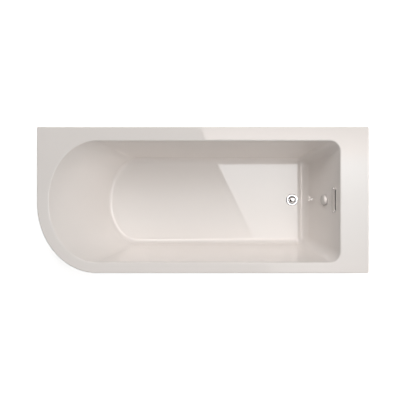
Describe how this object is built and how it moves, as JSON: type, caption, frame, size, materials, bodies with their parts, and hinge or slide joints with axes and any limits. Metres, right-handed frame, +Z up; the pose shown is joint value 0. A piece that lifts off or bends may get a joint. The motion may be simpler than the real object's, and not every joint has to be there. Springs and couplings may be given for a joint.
{
  "type": "corner bathtub",
  "caption": "Acrylic corner bathtub with one long rounded corner, sloping basin, pop-up waste turned by a wall knob, letterbox overflow, levelling cradle and curved panel.",
  "frame": {"origin": "on the floor below the middle of the tub's outside box", "axes": "+X along the length towards the drain end, +Y across towards the long back wall, +Z up"},
  "size_m": [1.7, 0.75, 0.57],
  "materials": {
    "acrylic": "glossy warm-white sanitary acrylic",
    "fibreglass": "rough rolled glass-fibre laminate",
    "chipboard": "raw chipboard under resin",
    "batten_timber": "raw softwood",
    "galvanised_steel": "galvanised",
    "zinc_fixings": "bright zinc plating",
    "panel_plastic": "glossy warm-white acrylic",
    "chrome": "polished chrome plating",
    "plug_steel": "stainless steel",
    "waste_plastic": "white polypropylene",
    "hose_plastic": "grey ribbed polyethylene",
    "seal_rubber": "black rubber",
    "cable_sheath": "black sheath",
    "foot_plastic": "black nylon"
  },
  "bodies": {
    "tub": {"tub_shell": "acrylic", "fibreglass_backing": "fibreglass", "baseboard": "chipboard", "rim_batten_end": "chipboard", "rim_batten_back": "batten_timber", "rim_batten_front": "batten_timber", "rim_batten_head": "batten_timber", "cradle_rail_head": "galvanised_steel", "cradle_rail_drain": "galvanised_steel", "centre_leg_bracket": "galvanised_steel", "wall_brackets": "galvanised_steel", "panel_stays": "galvanised_steel", "panel_clips": "galvanised_steel", "cradle_screws": "zinc_fixings", "leg_nuts": "zinc_fixings", "wall_bracket_screws": "zinc_fixings", "stay_bolts": "zinc_fixings", "clip_screws": "zinc_fixings", "front_panel": "panel_plastic", "waste_flange": "chrome", "panel_screws": "chrome", "bezel_screws": "chrome", "overflow_bezel": "chrome", "waste_body": "waste_plastic", "trap_body": "waste_plastic", "trap_inlet_nut": "waste_plastic", "trap_outlet_nut": "waste_plastic", "overflow_chamber": "waste_plastic", "knob_bush": "waste_plastic", "bush_nut": "waste_plastic", "hose_nut_upper": "waste_plastic", "hose_nut_lower": "waste_plastic", "overflow_hose": "hose_plastic", "waste_seal_upper": "seal_rubber", "waste_seal_lower": "seal_rubber", "trap_seal": "seal_rubber", "trap_outlet_seal": "seal_rubber", "overflow_gasket": "seal_rubber", "pop_up_cable": "cable_sheath"},
    "knob": {"overflow_knob": "chrome", "knob_spindle": "zinc_fixings", "cable_winder": "waste_plastic", "spindle_collar": "zinc_fixings"},
    "plug": {"plug_cap": "chrome", "plug_seal": "seal_rubber", "plug_stem": "plug_steel"},
    "lever": {"lift_lever": "plug_steel"},
    "leg_head_front": {"leg_stud_head_front": "zinc_fixings", "foot_pad_head_front": "foot_plastic"},
    "leg_head_back": {"leg_stud_head_back": "zinc_fixings", "foot_pad_head_back": "foot_plastic"},
    "leg_drain_front": {"leg_stud_drain_front": "zinc_fixings", "foot_pad_drain_front": "foot_plastic"},
    "leg_drain_back": {"leg_stud_drain_back": "zinc_fixings", "foot_pad_drain_back": "foot_plastic"},
    "leg_centre": {"leg_stud_centre": "zinc_fixings", "foot_pad_centre": "foot_plastic"}
  },
  "joints": [
    {"name": "knob_turn", "type": "hinge", "parent": "tub", "child": "knob", "pos_m": [0.6276, 0, 0.4], "axis": [-0.9121, 0, 0.4099], "range_deg": [0, 90]},
    {"name": "plug_lift", "type": "slide", "parent": "tub", "child": "plug", "axis": [0, 0, 1], "range_m": [0, 0.012]},
    {"name": "lever_rock", "type": "hinge", "parent": "tub", "child": "lever", "pos_m": [0.479, 0, 0.11635], "axis": [0, 1, 0], "range_deg": [0, 34.91]},
    {"name": "level_head_front", "type": "slide", "parent": "tub", "child": "leg_head_front", "axis": [0, 0, -1], "range_m": [-0.02, 0.016]},
    {"name": "level_head_back", "type": "slide", "parent": "tub", "child": "leg_head_back", "axis": [0, 0, -1], "range_m": [-0.02, 0.016]},
    {"name": "level_drain_front", "type": "slide", "parent": "tub", "child": "leg_drain_front", "axis": [0, 0, -1], "range_m": [-0.02, 0.016]},
    {"name": "level_drain_back", "type": "slide", "parent": "tub", "child": "leg_drain_back", "axis": [0, 0, -1], "range_m": [-0.02, 0.016]},
    {"name": "level_centre", "type": "slide", "parent": "tub", "child": "leg_centre", "axis": [0, 0, -1], "range_m": [-0.02, 0.016]}
  ],
  "couplings": [
    {"joint": "plug_lift", "follows": "knob_turn", "m_per_rad": 0.007639},
    {"joint": "lever_rock", "follows": "knob_turn", "ratio": 0.3879}
  ]
}
